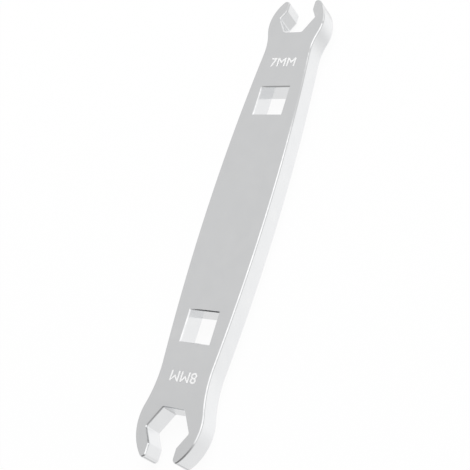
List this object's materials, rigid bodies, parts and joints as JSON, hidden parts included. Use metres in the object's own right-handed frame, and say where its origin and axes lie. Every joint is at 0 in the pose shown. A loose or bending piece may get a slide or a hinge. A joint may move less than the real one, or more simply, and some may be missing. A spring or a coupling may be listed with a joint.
{
  "type": "brake line wrench",
  "caption": "Flat open-jaw wrench for brake line nuts: six-sided jaws with hose mouths at the ends of a bowed bar with square drive holes.",
  "frame": {"origin": "middle of the plate's back face, halfway between the tips of the two jaws", "axes": "+Y along the bar towards the small jaw, +X across the bar, +Z out of the marked front face"},
  "size_m": [0.014, 0.1, 0.005],
  "materials": {
    "anodised_aluminium": "fine blasted and silver anodised"
  },
  "bodies": {
    "root": {"wrench_body": "anodised_aluminium"}
  },
  "joints": []
}
